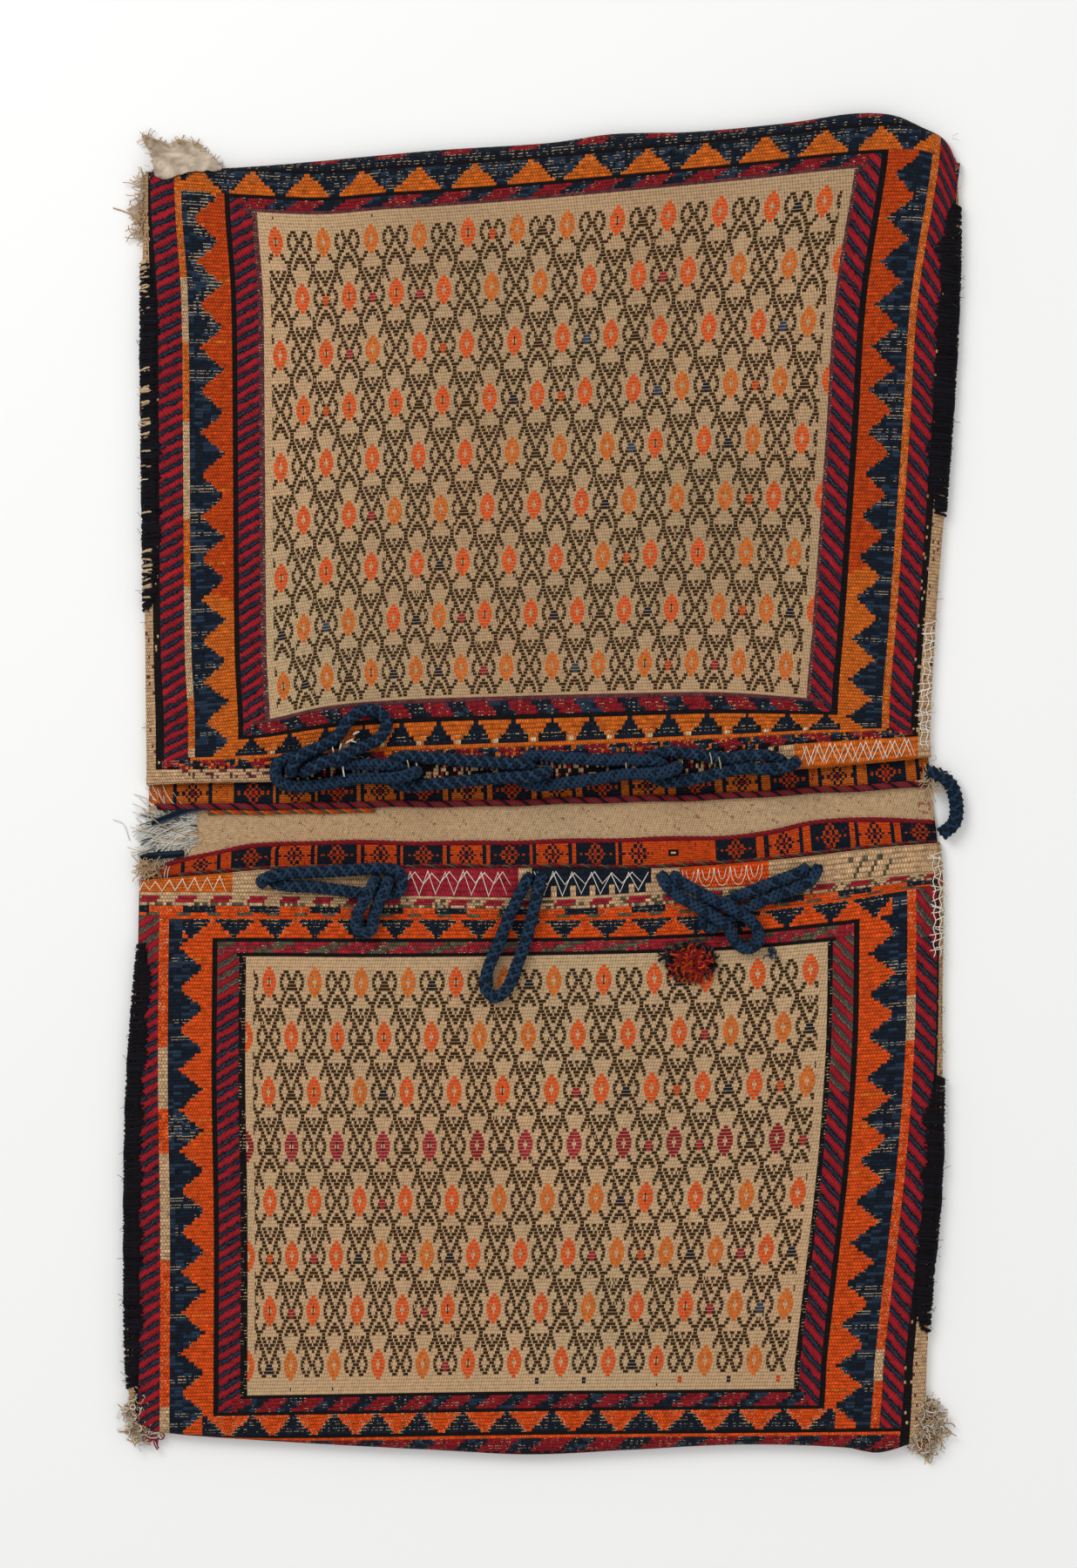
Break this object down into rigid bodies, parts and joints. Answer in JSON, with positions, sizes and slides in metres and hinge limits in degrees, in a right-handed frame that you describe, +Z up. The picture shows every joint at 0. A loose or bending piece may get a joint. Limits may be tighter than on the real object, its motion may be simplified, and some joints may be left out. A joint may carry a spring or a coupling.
{
  "type": "double saddle bag",
  "caption": "Flat-woven wool double saddle bag: two pouches facing across a narrow bridge, with wrapped sides and braided closure loops through slits in the pouch mouths.",
  "frame": {"origin": "under the middle of the bag, on the surface it lies on", "axes": "+Z up out of the mouth side, +Y along the bag towards the fold of the upper pouch, +X across it to the right"},
  "size_m": [0.5654, 0.8997, 0.0334],
  "materials": {
    "woven_wool": "matt wrapped-weft weave, cream ground with navy, rust orange, red and brown figures",
    "overcast_wool": "matt black wool yarn, worn",
    "braided_wool": "matt navy wool braid",
    "cotton_thread": "matt cream thread",
    "thin_cotton": "thin plain weave, torn",
    "tassel_wool": "loose orange-red yarn",
    "knot_wool": "loose blue yarn",
    "loose_wool": "teased fibre"
  },
  "bodies": {
    "root": {"woven_cloth": "woven_wool", "edge_wrap_upper_left": "overcast_wool", "edge_wrap_upper_right": "overcast_wool", "edge_wrap_lower_left": "overcast_wool", "edge_wrap_lower_right": "overcast_wool", "mending_thread_upper": "cotton_thread", "mending_thread_lower": "cotton_thread", "closure_loop_upper_1": "braided_wool", "closure_loop_upper_2": "braided_wool", "closure_loop_upper_3": "braided_wool", "closure_loop_upper_4": "braided_wool", "closure_loop_upper_5": "braided_wool", "closure_loop_lower_1": "braided_wool", "closure_loop_lower_2": "braided_wool", "closure_loop_lower_3": "braided_wool", "closure_loop_lower_4": "braided_wool", "closure_loop_lower_5": "braided_wool", "side_cord_right": "braided_wool", "side_cord_stub_upper": "braided_wool", "side_cord_stub_lower": "braided_wool", "pompom": "tassel_wool", "yarn_knot_blue": "knot_wool", "corner_scrap": "thin_cotton", "wool_tuft_lower_left": "loose_wool", "wool_tuft_lower_right": "loose_wool"}
  },
  "joints": []
}
